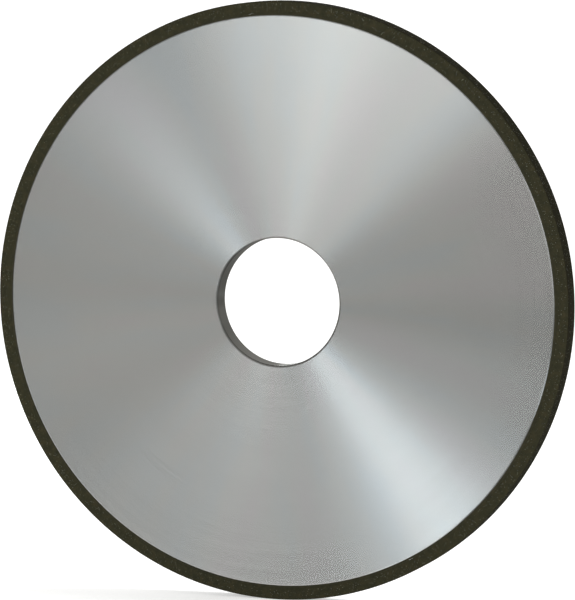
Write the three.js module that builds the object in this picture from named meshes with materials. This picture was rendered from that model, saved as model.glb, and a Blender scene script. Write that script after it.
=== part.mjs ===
// A straight (1A1) diamond grinding wheel, in millimetres.
// The wheel stands upright: its axis is Y, its front face looks along -Y, +Z is up,
// and the origin is the wheel's centre.
//
// Three coaxial rings make it: an aluminium core with an arbor hole, a diamond-free resin
// backing keyed into grooves in the core's edge, and the diamond layer moulded round that.

import * as THREE from "three";

// Driving dimensions
const WHEEL_DIAMETER = 150;
const WHEEL_THICKNESS = 6;
const BORE_DIAMETER = 32;
const DIAMOND_DEPTH = 3; // how deep the abrasive layer is, measured along the radius
const BACKING_DEPTH = 0.5; // the diamond-free layer under it

// Broken edges: how far each is cut back along the face, and how deep
const BORE_CHAMFER = { width: 0.5, depth: 0.5 };
const CORE_EDGE_BREAK = { width: 0.3, depth: 0.12 };
const RIM_EDGE_BREAK = { width: 0.1, depth: 0.1 };

// Keying grooves round the core's edge, which hold the moulded resin
const GROOVE_COUNT = 2;
const GROOVE_PITCH = 2.4;
const GROOVE_WIDTH = 1;
const GROOVE_DEPTH = 0.5;

const BOND_GAP = 0.04; // the bond line between two rings, left open so that they don't touch
const SEGMENTS = 120; // flats round every ring, in step with each other

// Radii and the half thickness that follow from them
const HALF_THICKNESS = WHEEL_THICKNESS / 2;
const BORE_RADIUS = BORE_DIAMETER / 2;
const WHEEL_RADIUS = WHEEL_DIAMETER / 2;
const DIAMOND_INNER_RADIUS = WHEEL_RADIUS - DIAMOND_DEPTH;
const CORE_RADIUS = DIAMOND_INNER_RADIUS - BACKING_DEPTH;

const aluminium = new THREE.MeshStandardMaterial({ color: 0xb4b6b4, metalness: 1, roughness: 0.3 });
const backingResin = new THREE.MeshStandardMaterial({ color: 0x2b2a22, metalness: 0, roughness: 0.6 });
const diamondBond = new THREE.MeshStandardMaterial({ color: 0x34322a, metalness: 0, roughness: 0.8 });

const corner = (radius, height) => new THREE.Vector2(radius, height);

// The two corners of a broken edge where a round wall meets a face, wall corner first.
// `outward` is 1 where the material lies inside the wall's radius, and -1 for a hole.
function brokenEdge(radius, height, { width, depth }, outward) {
  const side = Math.sign(height);
  return [corner(radius, height - side * depth), corner(radius - outward * width, height)];
}

// The heights of the keying grooves' centres, spaced evenly about the middle of the edge.
function grooveHeights() {
  const first = (-(GROOVE_COUNT - 1) / 2) * GROOVE_PITCH;
  return Array.from({ length: GROOVE_COUNT }, (_, i) => first + i * GROOVE_PITCH);
}

// The grooved wall between core and backing, from the lowest groove to the highest.
// `offset` moves it off the bond line: negative into the core, positive into the resin.
function keyedWall(offset) {
  const wallRadius = CORE_RADIUS + offset;
  const floorRadius = wallRadius - GROOVE_DEPTH;
  const halfWidth = GROOVE_WIDTH / 2 - offset;
  return grooveHeights().flatMap((height) => [
    corner(wallRadius, height - halfWidth),
    corner(floorRadius, height - halfWidth),
    corner(floorRadius, height + halfWidth),
    corner(wallRadius, height + halfWidth),
  ]);
}

// A named ring turned from a closed section of (radius, height) corners, which run
// anticlockwise with the radius to the right. LatheGeometry turns it about Y, the wheel's axis.
function turnedRing(name, section, material) {
  const geometry = new THREE.LatheGeometry([...section, section[0]], SEGMENTS);
  const ring = new THREE.Mesh(geometry, material);
  ring.name = name;
  return ring;
}

// The disc: arbor hole and faces, with the edge grooved for the resin.
function makeCore() {
  const radius = CORE_RADIUS - BOND_GAP / 2;
  const section = [
    ...brokenEdge(BORE_RADIUS, -HALF_THICKNESS, BORE_CHAMFER, -1),
    ...brokenEdge(radius, -HALF_THICKNESS, CORE_EDGE_BREAK, 1).reverse(),
    ...keyedWall(-BOND_GAP / 2),
    ...brokenEdge(radius, HALF_THICKNESS, CORE_EDGE_BREAK, 1),
    ...brokenEdge(BORE_RADIUS, HALF_THICKNESS, BORE_CHAMFER, -1).reverse(),
  ];
  return turnedRing("core", section, aluminium);
}

// The diamond-free layer: its ribs fill the core's grooves.
function makeBackingRing() {
  const innerRadius = CORE_RADIUS + BOND_GAP / 2;
  const outerRadius = DIAMOND_INNER_RADIUS - BOND_GAP / 2;
  const section = [
    corner(outerRadius, -HALF_THICKNESS),
    corner(outerRadius, HALF_THICKNESS),
    corner(innerRadius, HALF_THICKNESS),
    ...keyedWall(BOND_GAP / 2).reverse(),
    corner(innerRadius, -HALF_THICKNESS),
  ];
  return turnedRing("backing_ring", section, backingResin);
}

// The abrasive layer: the outer wall is what grinds.
function makeDiamondRim() {
  const innerRadius = DIAMOND_INNER_RADIUS + BOND_GAP / 2;
  const section = [
    corner(innerRadius, -HALF_THICKNESS),
    ...brokenEdge(WHEEL_RADIUS, -HALF_THICKNESS, RIM_EDGE_BREAK, 1).reverse(),
    ...brokenEdge(WHEEL_RADIUS, HALF_THICKNESS, RIM_EDGE_BREAK, 1),
    corner(innerRadius, HALF_THICKNESS),
  ];
  return turnedRing("diamond_rim", section, diamondBond);
}

const wheel = new THREE.Group();
wheel.add(makeCore(), makeBackingRing(), makeDiamondRim());

export default wheel;
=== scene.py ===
import math
import random

import bmesh
import bpy
from mathutils import Euler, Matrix, Quaternion, Vector, noise


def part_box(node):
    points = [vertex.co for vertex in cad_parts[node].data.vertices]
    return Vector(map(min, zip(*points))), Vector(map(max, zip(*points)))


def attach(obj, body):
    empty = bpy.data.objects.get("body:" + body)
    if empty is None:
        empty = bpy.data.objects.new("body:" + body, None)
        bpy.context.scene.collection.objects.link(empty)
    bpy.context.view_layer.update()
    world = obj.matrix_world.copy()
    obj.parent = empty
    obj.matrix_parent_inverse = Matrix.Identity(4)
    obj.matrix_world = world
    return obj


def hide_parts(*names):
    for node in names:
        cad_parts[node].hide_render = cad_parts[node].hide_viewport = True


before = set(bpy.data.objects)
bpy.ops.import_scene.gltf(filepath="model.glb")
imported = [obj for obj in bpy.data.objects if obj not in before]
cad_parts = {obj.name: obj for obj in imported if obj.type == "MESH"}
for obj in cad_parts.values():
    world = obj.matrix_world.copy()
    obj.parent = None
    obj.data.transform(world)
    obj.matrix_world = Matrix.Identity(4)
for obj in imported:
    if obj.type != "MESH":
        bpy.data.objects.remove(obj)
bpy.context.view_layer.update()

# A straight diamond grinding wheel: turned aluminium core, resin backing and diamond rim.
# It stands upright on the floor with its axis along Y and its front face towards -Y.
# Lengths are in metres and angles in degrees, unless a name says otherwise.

MM = 1e-3

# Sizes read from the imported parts
WHEEL_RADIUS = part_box("diamond_rim")[1].x
HALF_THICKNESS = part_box("diamond_rim")[1].y
CORE_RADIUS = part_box("core")[1].x
BACKING_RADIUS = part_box("backing_ring")[1].x
BORE_RADIUS = min(math.hypot(v.co.x, v.co.z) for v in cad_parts["core"].data.vertices)

# The floor, which the wheel stands on
FLOOR_HEIGHT = -WHEEL_RADIUS
FLOOR_SIZE = 14

# Details of the rings and their edges, as on the CAD parts
BOND_LINE = 0.02 * MM  # the gap left between two rings, half of the CAD's
BORE_CHAMFER = 0.5 * MM
CORE_EDGE_WIDTH = 0.3 * MM
CORE_EDGE_DEPTH = 0.12 * MM
RIM_EDGE_CHAMFER = 0.1 * MM
GROOVE_HEIGHTS = (-1.2 * MM, 1.2 * MM)  # keying grooves round the core's edge
GROOVE_WIDTH = 1.0 * MM
GROOVE_DEPTH = 0.5 * MM

# Fineness of the turned meshes
ROUND_STEPS = 720
CORNER_ROUND = 0.04 * MM  # how far from a corner its rounding starts
CORNER_STEPS = 4
RESIN_STEP = 0.5 * MM  # longest edge across a resin surface, so that it can be roughened

# Grit: the resin is worn back a little, so the diamonds stand out of it to the wheel's full size
GRIT_PROUD = 0.02 * MM
GRIT_COUNT = 6000
GRIT_SIZES = (0.05 * MM, 0.11 * MM)  # grain radius
GRIT_STRETCH = (0.8, 1.2)  # how far each grain is from an even shape
GRIT_DEPTHS = (0.6, 2.2)  # of a grain's middle, as a multiple of how far it can stand out
GRIT_MARGIN = 0.3 * MM  # how far grains stay from the edges of the diamond layer
GRIT_SEED = 7
HOLLOW_DEPTH = 0.01 * MM  # of the hollows between the grains
HOLLOW_SPACING = 0.9 * MM
WORN_DEPTH = 0.06 * MM  # of the worn spots along the rim's edges
WORN_SPACING = 2.5 * MM
WALL_SLOPE = 0.3  # the resin's outer wall is where its normal leans towards Y by less than this

# Camera
CAMERA_AZIMUTH = 19.0
CAMERA_ELEVATION = 5.79
CAMERA_DISTANCE = 1.1244
CAMERA_LENS_MM = 269.92
CAMERA_SENSOR_MM = 36
AIM_RIGHT = 1.42 * MM  # the aim point's offset from the wheel's centre, as the camera sees it
AIM_UP = 0.26 * MM

# Textures, as features to the metre, or to the radian round and the metre outwards
TURNING_MARKS = (2.5, 2600)
METAL_SHEEN_PATCHES = (5, 25)
METAL_SPECKLE = 2400
RESIN_LUMPS = 700
FINE_GRAINS = 7000
DIAMOND_FLAWS = 20000

NOISE_RANGE = (0.3, 0.7)  # nearly all soft noise lies in it

# Height of the fine relief that the materials add
TURNING_RELIEF = 0.0008 * MM
RESIN_RELIEF = 0.02 * MM

# Roughness of the smoothest and the roughest spots
METAL_ROUGHNESS = (0.24, 0.26)
DIAMOND_ROUGHNESS = (0.25, 0.5)

# Colours, as a shade or as the (position, (red, green, blue)) stops of a ramp
WHITE = (1, 1, 1)
# painted sheen: faint pink and blue tints in patches round the wheel, standing for the rainbow
# colours that light draws from the fine turning grooves
METAL_SHEEN_TINTS = [
    (0.32, (0.503, 0.493, 0.494)),
    (0.5, (0.496, 0.5, 0.493)),
    (0.68, (0.484, 0.5, 0.505)),
]
RING_SHADES = [(0.3, (0.965, 0.965, 0.965)), (0.7, WHITE)]
SPECKLE_SHADES = [(0.3, (0.95, 0.95, 0.95)), (0.7, WHITE)]
# painted shade: darkens the bore's wall and chamfer, standing for the dim surroundings they mirror
BORE_PAINTED_SHADE = (0.27, 0.265, 0.24)
RESIN_BROWNS = [
    (0.3, (0.029, 0.0285, 0.017)),
    (0.5, (0.0345, 0.033, 0.019)),
    (0.7, (0.043, 0.038, 0.021)),
]
GRAIN_SHADES = [(0.1, (0.8, 0.8, 0.8)), (0.8, (1.1, 1.1, 1.06)), (1.0, (1.4, 1.4, 1.3))]
# painted shade: darkens the rim's outer wall, standing for the dimmer light that falls on it
OUTER_WALL_PAINTED_SHADE = (0.42, 0.40, 0.32)
DIAMOND_COLOURS = [
    (0.0, (0.025, 0.025, 0.02)),
    (0.7, (0.06, 0.06, 0.035)),
    (1.0, (0.16, 0.16, 0.09)),
]


# ---------------------------------------------------------------- node helpers

def feed(tree, target, value):
    """Connects a socket to an input, or sets the input to a constant."""
    if isinstance(value, bpy.types.NodeSocket):
        tree.links.new(value, target)
    else:
        target.default_value = value


def node(tree, kind, output, inputs, **properties):
    """Adds a shader node and returns one of its outputs."""
    new = tree.nodes.new("ShaderNode" + kind)
    for name, value in properties.items():
        setattr(new, name, value)
    for name, value in inputs.items():
        feed(tree, new.inputs[name], value)
    return new.outputs[output]


def math_node(tree, operation, *values):
    """Works out one number from sockets or constants."""
    return node(tree, "Math", "Value", dict(enumerate(values)), operation=operation)


def remap(tree, value, before, after):
    """Takes the range `before` to the range `after`, smoothly and clamped at both ends."""
    inputs = {"Value": value, "From Min": before[0], "From Max": before[1],
              "To Min": after[0], "To Max": after[1]}
    return node(tree, "MapRange", "Result", inputs, interpolation_type="SMOOTHSTEP")


def blotches(tree, place, scale, detail=2.0):
    """Soft noise from 0 to 1, with `scale` features to the metre."""
    return node(tree, "TexNoise", "Fac", {"Vector": place, "Scale": scale, "Detail": detail})


def cells(tree, place, scale, output):
    """Irregular cells, `scale` to the metre."""
    return node(tree, "TexVoronoi", output, {"Vector": place, "Scale": scale})


def ramp(tree, value, stops):
    """A colour for each value, blended between (position, (red, green, blue)) stops."""
    colour = node(tree, "ValToRGB", "Color", {"Fac": value})
    elements = colour.node.color_ramp.elements
    elements[0].position, elements[-1].position = stops[0][0], stops[-1][0]
    for position, _ in stops[1:-1]:
        elements.new(position)
    for element, (_, rgb) in zip(elements, stops):
        element.color = (*rgb, 1)
    return colour


def blend(tree, mode, amount, below, above):
    """Lays one colour on another.

    The Mix node's colour sockets share their names with others, so they go by number.
    """
    return node(tree, "Mix", 2, {0: amount, 6: below, 7: above}, data_type="RGBA", blend_type=mode)


def shaded(tree, colour, shade):
    """A colour multiplied by a shade."""
    return blend(tree, "MULTIPLY", 1.0, colour, shade)


def edge_shade(tree, value, edges, before, after):
    """A shade that changes smoothly from one to another as the value goes from edge to edge."""
    return ramp(tree, remap(tree, value, edges, (0.0, 1.0)), [(0.0, before), (1.0, after)])


def bump(tree, height, distance, normal=None):
    """Relief of that height, on top of another relief if one is given."""
    inputs = {"Height": height, "Distance": distance}
    if normal:
        inputs["Normal"] = normal
    return node(tree, "Bump", "Normal", inputs)


def new_material(name, **constants):
    """A material whose Principled shader has these constants, and its tree and shader."""
    material = bpy.data.materials.new(name)
    material.use_nodes = True
    shader = material.node_tree.nodes["Principled BSDF"]
    for key, value in constants.items():
        shader.inputs[key.replace("_", " ")].default_value = value
    return material, material.node_tree, shader


def object_place(tree):
    """The point's place on the wheel, in metres."""
    return node(tree, "TexCoord", "Object", {})


# ---------------------------------------------------------------- materials

def off_axis(tree, place):
    """The way from the wheel's axis to the point, and its length, the radius."""
    away = node(tree, "VectorMath", "Vector", {0: place, 1: (1, 0, 1)}, operation="MULTIPLY")
    radius = node(tree, "VectorMath", "Value", {0: away}, operation="LENGTH")
    return away, radius


def turned_place(tree, place, per_radian, per_metre):
    """Coordinates that run round the wheel and out from its axis, for marks left by turning.

    They have no seam, as the way round is kept as a unit vector.
    """
    away, radius = off_axis(tree, place)
    around = node(tree, "VectorMath", "Vector", {0: away}, operation="NORMALIZE")
    around = node(tree, "VectorMath", "Vector", {0: around, "Scale": per_radian}, operation="SCALE")
    outward = math_node(tree, "MULTIPLY", radius, per_metre)
    along = node(tree, "CombineXYZ", "Vector", {"Y": outward})
    return node(tree, "VectorMath", "Vector", {0: around, 1: along}, operation="ADD")


def turned_aluminium():
    """Aluminium turned in fine rings, whose gloss stretches out from the axis.

    The bore's wall and chamfer carry a painted shade: they are darker than the faces, standing for
    the dim surroundings they mirror.
    """
    material, tree, shader = new_material(
        "turned_aluminium", Metallic=1.0, Anisotropic=1.0, Anisotropic_Rotation=0.25)
    place = object_place(tree)
    rings = blotches(tree, turned_place(tree, place, *TURNING_MARKS), 1.0, 3.0)
    sheen_patches = blotches(tree, turned_place(tree, place, *METAL_SHEEN_PATCHES), 1.0, 3.0)
    speckle = blotches(tree, place, METAL_SPECKLE, 1.0)

    # Painted sheen: tint patches standing for the rainbow colours of the turning grooves
    metal = ramp(tree, sheen_patches, METAL_SHEEN_TINTS)
    metal = shaded(tree, metal, ramp(tree, rings, RING_SHADES))
    metal = shaded(tree, metal, ramp(tree, speckle, SPECKLE_SHADES))
    _, radius = off_axis(tree, place)
    # Painted shade on the bore's wall and chamfer, fading out at the chamfer's outer edge
    bore_painted_shade_edges = (BORE_RADIUS, BORE_RADIUS + BORE_CHAMFER)
    metal = shaded(tree, metal, edge_shade(tree, radius, bore_painted_shade_edges, BORE_PAINTED_SHADE, WHITE))
    feed(tree, shader.inputs["Base Color"], metal)

    tangent = node(tree, "Tangent", "Tangent", {}, direction_type="RADIAL", axis="Y")
    feed(tree, shader.inputs["Tangent"], tangent)
    feed(tree, shader.inputs["Roughness"], remap(tree, rings, NOISE_RANGE, METAL_ROUGHNESS))
    feed(tree, shader.inputs["Normal"], bump(tree, rings, TURNING_RELIEF))
    return material


def resin(tree, place):
    """The mottled colour of the phenolic resin, and soft lumps for its surface."""
    lumps = blotches(tree, place, RESIN_LUMPS, 3.0)
    return ramp(tree, lumps, RESIN_BROWNS), lumps


def backing_resin():
    """Plain resin."""
    material, tree, shader = new_material("backing_resin", Roughness=0.8, Specular_IOR_Level=0.08)
    colour, lumps = resin(tree, object_place(tree))
    feed(tree, shader.inputs["Base Color"], colour)
    feed(tree, shader.inputs["Normal"], bump(tree, lumps, RESIN_RELIEF))
    return material


def diamond_bond():
    """Resin full of fine grit: each grain is a small lump of its own shade.

    The wall that grinds carries a painted shade: it is darker than the faces, standing for the
    dimmer light that falls on it.
    """
    material, tree, shader = new_material("diamond_bond", Roughness=0.9, Specular_IOR_Level=0.05)
    place = object_place(tree)
    colour, lumps = resin(tree, place)
    grain_shade = cells(tree, place, FINE_GRAINS, "Color")
    colour = shaded(tree, colour, ramp(tree, grain_shade, GRAIN_SHADES))
    _, radius = off_axis(tree, place)
    # Painted shade on the outer wall, starting at the edge chamfers
    wall_painted_shade_edges = (WHEEL_RADIUS - RIM_EDGE_CHAMFER, WHEEL_RADIUS - GRIT_PROUD)
    wall_painted_shade = edge_shade(tree, radius, wall_painted_shade_edges, WHITE, OUTER_WALL_PAINTED_SHADE)
    feed(tree, shader.inputs["Base Color"], shaded(tree, colour, wall_painted_shade))

    hollows = cells(tree, place, FINE_GRAINS, "Distance")
    relief = bump(tree, hollows, -RESIN_RELIEF, bump(tree, lumps, RESIN_RELIEF))
    feed(tree, shader.inputs["Normal"], relief)
    return material


def diamond():
    """Grains from dark grey to dull yellow-green, whose gloss is dulled by resin left on them."""
    material, tree, shader = new_material("diamond", IOR=2.42, Specular_IOR_Level=0.25)
    which_grain = node(tree, "NewGeometry", "Random Per Island", {})
    feed(tree, shader.inputs["Base Color"], ramp(tree, which_grain, DIAMOND_COLOURS))
    flaws = blotches(tree, object_place(tree), DIAMOND_FLAWS)
    feed(tree, shader.inputs["Roughness"], remap(tree, flaws, NOISE_RANGE, DIAMOND_ROUGHNESS))
    return material


# ---------------------------------------------------------------- turned meshes

def rounded_corner(before, corner, after):
    """Points that round one corner of an outline."""
    start = corner + (before - corner).normalized() * CORNER_ROUND
    end = corner + (after - corner).normalized() * CORNER_ROUND
    steps = [i / CORNER_STEPS for i in range(CORNER_STEPS + 1)]
    return [start * (1 - t) ** 2 + corner * 2 * t * (1 - t) + end * t ** 2 for t in steps]


def rounded(outline):
    """A closed outline of (radius, y) points with every corner rounded."""
    corners = [Vector(point) for point in outline]
    result = []
    for i, corner in enumerate(corners):
        result += rounded_corner(corners[i - 1], corner, corners[(i + 1) % len(corners)])
    return result


def divided(outline, longest):
    """A closed outline with its long edges cut into steps no longer than `longest`."""
    result = []
    for i, start in enumerate(outline):
        end = outline[(i + 1) % len(outline)]
        pieces = math.ceil((end - start).length / longest)
        result += [start.lerp(end, k / pieces) for k in range(pieces)]
    return result


def turned_mesh(name, outline):
    """A ring turned about Y from a closed outline of (radius, y) points, anticlockwise."""
    count = len(outline)
    vertices = []
    for step in range(ROUND_STEPS):
        angle = 2 * math.pi * step / ROUND_STEPS
        vertices += [(r * math.cos(angle), y, r * math.sin(angle)) for r, y in outline]
    faces = []
    for step in range(ROUND_STEPS):
        here = step * count
        ahead = (step + 1) % ROUND_STEPS * count
        for i in range(count):
            j = (i + 1) % count
            faces.append((here + i, here + j, ahead + j, ahead + i))
    mesh = bpy.data.meshes.new(name)
    mesh.from_pydata(vertices, [], faces)
    mesh.shade_smooth()
    return mesh


def add_piece(mesh, material):
    """Puts a mesh in the scene as a piece of the wheel."""
    piece = bpy.data.objects.new(mesh.name, mesh)
    bpy.context.scene.collection.objects.link(piece)
    mesh.materials.append(material)
    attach(piece, "root")
    return piece


def flatten_faces(piece):
    """Keeps wide faces flat in the shading, so that only the small roundings curve."""
    piece.modifiers.new("flat faces", "WEIGHTED_NORMAL").weight = 100


def keyed_wall(radius, offset):
    """The grooved wall between core and backing, from the lowest groove to the highest."""
    half_width = GROOVE_WIDTH / 2 - offset
    floor_radius = radius - GROOVE_DEPTH
    points = []
    for height in GROOVE_HEIGHTS:
        points += [(radius, height - half_width), (floor_radius, height - half_width)]
        points += [(floor_radius, height + half_width), (radius, height + half_width)]
    return points


# ---------------------------------------------------------------- pieces

def make_core():
    """The aluminium disc, with its arbor hole and its grooved edge."""
    half = HALF_THICKNESS
    outline = [
        (BORE_RADIUS, -half + BORE_CHAMFER),
        (BORE_RADIUS + BORE_CHAMFER, -half),
        (CORE_RADIUS - CORE_EDGE_WIDTH, -half),
        (CORE_RADIUS, -half + CORE_EDGE_DEPTH),
        *keyed_wall(CORE_RADIUS, -BOND_LINE / 2),
        (CORE_RADIUS, half - CORE_EDGE_DEPTH),
        (CORE_RADIUS - CORE_EDGE_WIDTH, half),
        (BORE_RADIUS + BORE_CHAMFER, half),
        (BORE_RADIUS, half - BORE_CHAMFER),
    ]
    mesh = turned_mesh("turned_core", rounded(outline))
    core = add_piece(mesh, turned_aluminium())
    flatten_faces(core)
    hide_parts("core")


def make_backing():
    """The layer of plain resin, whose ribs fill the core's grooves."""
    half = HALF_THICKNESS - GRIT_PROUD
    inner = CORE_RADIUS + BOND_LINE
    outline = [
        (BACKING_RADIUS, -half),
        (BACKING_RADIUS, half),
        (inner, half),
        *reversed(keyed_wall(inner, BOND_LINE / 2)),
        (inner, -half),
    ]
    mesh = turned_mesh("backing_layer", rounded(outline))
    backing = add_piece(mesh, backing_resin())
    flatten_faces(backing)
    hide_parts("backing_ring")


def wear(mesh, edge_radius):
    """Hollows the resin between its grains, and rubs the two outer edges down in spots."""
    normals = [vertex.normal.copy() for vertex in mesh.vertices]
    for vertex, normal in zip(mesh.vertices, normals):
        radius = math.hypot(vertex.co.x, vertex.co.z)
        depth = HOLLOW_DEPTH * (0.5 + 0.5 * noise.noise(vertex.co / HOLLOW_SPACING))
        if radius > edge_radius and abs(normal.y) > WALL_SLOPE:
            depth += WORN_DEPTH * max(0, noise.noise(vertex.co / WORN_SPACING))
        vertex.co -= normal * depth


def make_rim():
    """The resin of the diamond layer, worn back from the wheel's full size."""
    half = HALF_THICKNESS - GRIT_PROUD
    inner = BACKING_RADIUS + BOND_LINE
    outer = WHEEL_RADIUS - GRIT_PROUD
    outline = [
        (inner, -half),
        (outer - RIM_EDGE_CHAMFER, -half),
        (outer, -half + RIM_EDGE_CHAMFER),
        (outer, half - RIM_EDGE_CHAMFER),
        (outer - RIM_EDGE_CHAMFER, half),
        (inner, half),
    ]
    mesh = turned_mesh("abrasive_rim", divided(rounded(outline), RESIN_STEP))
    wear(mesh, outer - 1.5 * RIM_EDGE_CHAMFER)
    rim = add_piece(mesh, diamond_bond())
    flatten_faces(rim)
    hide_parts("diamond_rim")


def grain_shape():
    """The corners and faces of a cuboctahedron, the usual shape of a grown diamond."""
    shape = bmesh.new()
    for axis in range(3):
        for a in (-1, 1):
            for b in (-1, 1):
                corner = [a, b]
                corner.insert(axis, 0)
                shape.verts.new(corner)
    bmesh.ops.convex_hull(shape, input=shape.verts)
    bmesh.ops.recalc_face_normals(shape, faces=shape.faces)
    corners = [vertex.co.copy() for vertex in shape.verts]
    faces = [[vertex.index for vertex in face.verts] for face in shape.faces]
    shape.free()
    return corners, faces


def grit_spot(rng):
    """A random point just under the surface of the diamond layer, as (radius, angle, y)."""
    depth = rng.uniform(*GRIT_DEPTHS) * GRIT_PROUD
    angle = rng.uniform(0, 2 * math.pi)
    wall_share = HALF_THICKNESS / (HALF_THICKNESS + WHEEL_RADIUS - BACKING_RADIUS)
    if rng.random() < wall_share:
        return WHEEL_RADIUS - depth, angle, rng.uniform(-1, 1) * (HALF_THICKNESS - GRIT_MARGIN)
    side = rng.choice((-1, 1))
    radius = rng.uniform(BACKING_RADIUS + GRIT_MARGIN, WHEEL_RADIUS - GRIT_MARGIN)
    return radius, angle, side * (HALF_THICKNESS - depth)


def inside_wheel(point):
    """Cuts a point back to the wheel's true size, as dressing the wheel does."""
    radius = math.hypot(point.x, point.z)
    trim = min(1, WHEEL_RADIUS / radius)
    y = max(-HALF_THICKNESS, min(HALF_THICKNESS, point.y))
    return (point.x * trim, y, point.z * trim)


def grain_corners(rng, shape):
    """The corners of one grain: the shape turned, sized and set in a random spot."""
    radius, angle, y = grit_spot(rng)
    middle = Vector((radius * math.cos(angle), y, radius * math.sin(angle)))
    turn = Euler([rng.uniform(0, math.pi) for _ in range(3)]).to_matrix()
    size = rng.uniform(*GRIT_SIZES) / math.sqrt(2)
    stretch = Vector([rng.uniform(*GRIT_STRETCH) * size for _ in range(3)])
    return [inside_wheel(middle + turn @ (corner * stretch)) for corner in shape]


def make_grit():
    """The larger diamond grains, set in the rim's faces and outer wall."""
    rng = random.Random(GRIT_SEED)
    shape, shape_faces = grain_shape()
    corners, faces = [], []
    for _ in range(GRIT_COUNT):
        first = len(corners)
        corners += grain_corners(rng, shape)
        faces += [[first + i for i in face] for face in shape_faces]
    mesh = bpy.data.meshes.new("diamond_grit")
    mesh.from_pydata(corners, [], faces)
    add_piece(mesh, diamond())


# ---------------------------------------------------------------- stage, camera and light

def direction(azimuth, elevation):
    """The unit vector from the wheel's centre at that azimuth, 0 being straight in front."""
    a, e = math.radians(azimuth), math.radians(elevation)
    return Vector((math.sin(a) * math.cos(e), -math.cos(a) * math.cos(e), math.sin(e)))


def aim_at_wheel(thing, towards):
    """Puts a camera or light in the scene, facing the wheel from that direction."""
    thing.rotation_mode = "QUATERNION"
    thing.rotation_quaternion = (-towards).to_track_quat("-Z", "Y")
    bpy.context.scene.collection.objects.link(thing)


def make_camera():
    """A long lens, from the photograph's viewing angle."""
    data = bpy.data.cameras.new("camera")
    data.lens = CAMERA_LENS_MM
    data.sensor_width = CAMERA_SENSOR_MM
    camera = bpy.data.objects.new("camera", data)
    back = direction(CAMERA_AZIMUTH, CAMERA_ELEVATION)
    aim_at_wheel(camera, back)
    aim = camera.rotation_quaternion @ Vector((AIM_RIGHT, AIM_UP, 0))
    camera.location = aim + back * CAMERA_DISTANCE
    bpy.context.scene.camera = camera


def make_floor():
    """A pale floor that glows a little, like a light table.

    The metal doesn't mirror it, and it stops no light, so that softboxes may stand below it.
    """
    bpy.ops.mesh.primitive_plane_add(size=FLOOR_SIZE, location=(0, 0, FLOOR_HEIGHT))
    floor = bpy.context.object
    floor.name = "floor"
    material, _, _ = new_material(
        "pale_floor", Base_Color=(0.9, 0.9, 0.9, 1), Roughness=1.0, Specular_IOR_Level=0.0,
        Emission_Color=(1, 1, 1, 1), Emission_Strength=0.5)
    floor.data.materials.append(material)
    floor.visible_glossy = False
    floor.visible_shadow = False


# Views that the softboxes are set for, as azimuth and elevation
FRONT = (CAMERA_AZIMUTH, CAMERA_ELEVATION)
FRONT_LEFT = (335, 10)
BACK_LEFT = (150, 6)
BACK_RIGHT = (235, 6)

# Tints of the softboxes, then of the room and of what the camera sees behind the wheel
WARM = (1.01, 1.0, 0.95)
COOL = (0.97, 1.01, 1.01)
COLD = (0.92, 1.02, 1.08)
ROOM_COLOUR = (1, 0.985, 0.95, 1)
BACKDROP_COLOUR = (1, 1, 1, 1)

# The wheel's face mirrors each view towards one direction. A softbox stands off that direction by
# its tilt, at its turn anticlockwise from the view's right, and draws a fan across the turned metal
# at that turn and opposite it. Each has a view, turn, tilt, length outwards, width, radiance, tint.
SOFTBOXES = [
    (FRONT, 60, 22, 0.22, 0.12, 1.55, COOL),
    (FRONT, 90, 23, 0.20, 0.11, 1.7, COOL),
    (FRONT, 308, 13, 0.16, 0.045, 2.85, COLD),
    (FRONT, 293, 50, 0.40, 0.15, 0.95, COOL),
    (FRONT, 165, 4, 0.04, 0.06, 2.1, WARM),
    (FRONT_LEFT, 75, 18, 0.22, 0.12, 1.35, COOL),
    (FRONT_LEFT, 310, 12, 0.12, 0.05, 2.7, COLD),
    (BACK_LEFT, 60, 22, 0.22, 0.12, 3.0, COOL),
    (BACK_LEFT, 100, 20, 0.20, 0.11, 3.0, COOL),
    (BACK_LEFT, 320, 9, 0.10, 0.04, 7.0, COLD),
    (BACK_RIGHT, 115, 20, 0.22, 0.12, 3.6, COOL),
    (BACK_RIGHT, 225, 9, 0.10, 0.05, 6.0, COLD),
]
SOFTBOX_DISTANCE = 0.5  # from the wheel's centre


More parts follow.
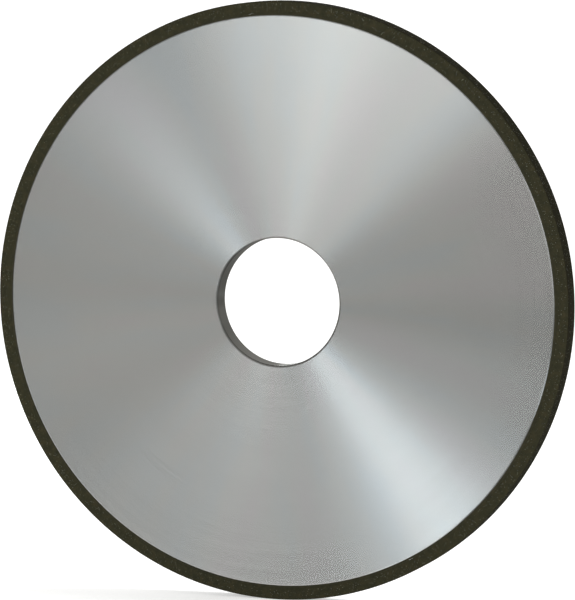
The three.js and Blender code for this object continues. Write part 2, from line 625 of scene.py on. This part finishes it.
def add_softbox(view, turn, tilt, length, width, radiance, tint):
    """A rectangular light, placed as the table says, that the camera doesn't see."""
    data = bpy.data.lights.new("softbox", "AREA")
    data.shape = "RECTANGLE"
    data.size = length
    data.size_y = width
    data.color = tint
    data.energy = math.pi * radiance * length * width
    softbox = bpy.data.objects.new("softbox", data)
    softbox.visible_camera = False
    azimuth, elevation = view
    # Its own Z axis points away from the wheel: first along the mirrored direction, then off it
    mirrored = direction(-azimuth, -elevation).to_track_quat("Z", "Y")
    turned = mirrored @ Quaternion((0, 0, 1), math.radians(turn))
    tilted = turned @ Quaternion((0, 1, 0), math.radians(tilt))
    softbox.rotation_mode = "QUATERNION"
    softbox.rotation_quaternion = tilted
    softbox.location = tilted @ Vector((0, 0, SOFTBOX_DISTANCE))
    bpy.context.scene.collection.objects.link(softbox)


def make_overhead_light():
    """A broad light from above and behind, which whitens the floor but isn't mirrored."""
    data = bpy.data.lights.new("overhead", "SUN")
    data.energy = 1.0
    data.angle = math.radians(16)
    overhead = bpy.data.objects.new("overhead", data)
    overhead.visible_glossy = False
    aim_at_wheel(overhead, direction(180, 80))


def glow(tree, way, towards, edges, strengths):
    """Light that goes from one strength to another towards a direction.

    `edges` are the cosines of the angle from that direction where it starts and stops changing.
    """
    towards = Vector(towards).normalized()
    near = node(tree, "VectorMath", "Value", {0: way, 1: towards}, operation="DOT_PRODUCT")
    return remap(tree, near, edges, strengths)


def make_surroundings():
    """A grey room round the wheel, which the camera sees as plain white.

    It has a pale ceiling, a window high up behind and a white card down to the left.
    """
    world = bpy.data.worlds.new("studio")
    world.use_nodes = True
    tree = world.node_tree
    way = node(tree, "TexCoord", "Generated", {})
    room = glow(tree, way, (0, 1, 0), (0.0, 0.8), (0.34, 0.45))
    window = glow(tree, way, (0, 0.87, 0.5), (0.7, 1.0), (0.0, 0.85))
    card = glow(tree, way, (-0.6, -0.2, -0.77), (0.62, 0.82), (0.0, 1.1))
    ceiling = glow(tree, way, (0, 0, 1), (0.4, 0.8), (0.0, 0.5))
    seen = node(tree, "LightPath", "Is Camera Ray", {})
    strength = seen
    for part in (room, window, card, ceiling):
        strength = math_node(tree, "MAXIMUM", strength, part)
    background = tree.nodes["Background"]
    colour = blend(tree, "MIX", seen, ROOM_COLOUR, BACKDROP_COLOUR)
    feed(tree, background.inputs["Color"], colour)
    feed(tree, background.inputs["Strength"], strength)
    bpy.context.scene.world = world
    bpy.context.scene.view_settings.view_transform = "Standard"


def make_lights():
    """Everything that lights the wheel."""
    for softbox in SOFTBOXES:
        add_softbox(*softbox)
    make_overhead_light()
    make_surroundings()


make_camera()
make_core()
make_backing()
make_rim()
make_grit()
make_floor()
make_lights()
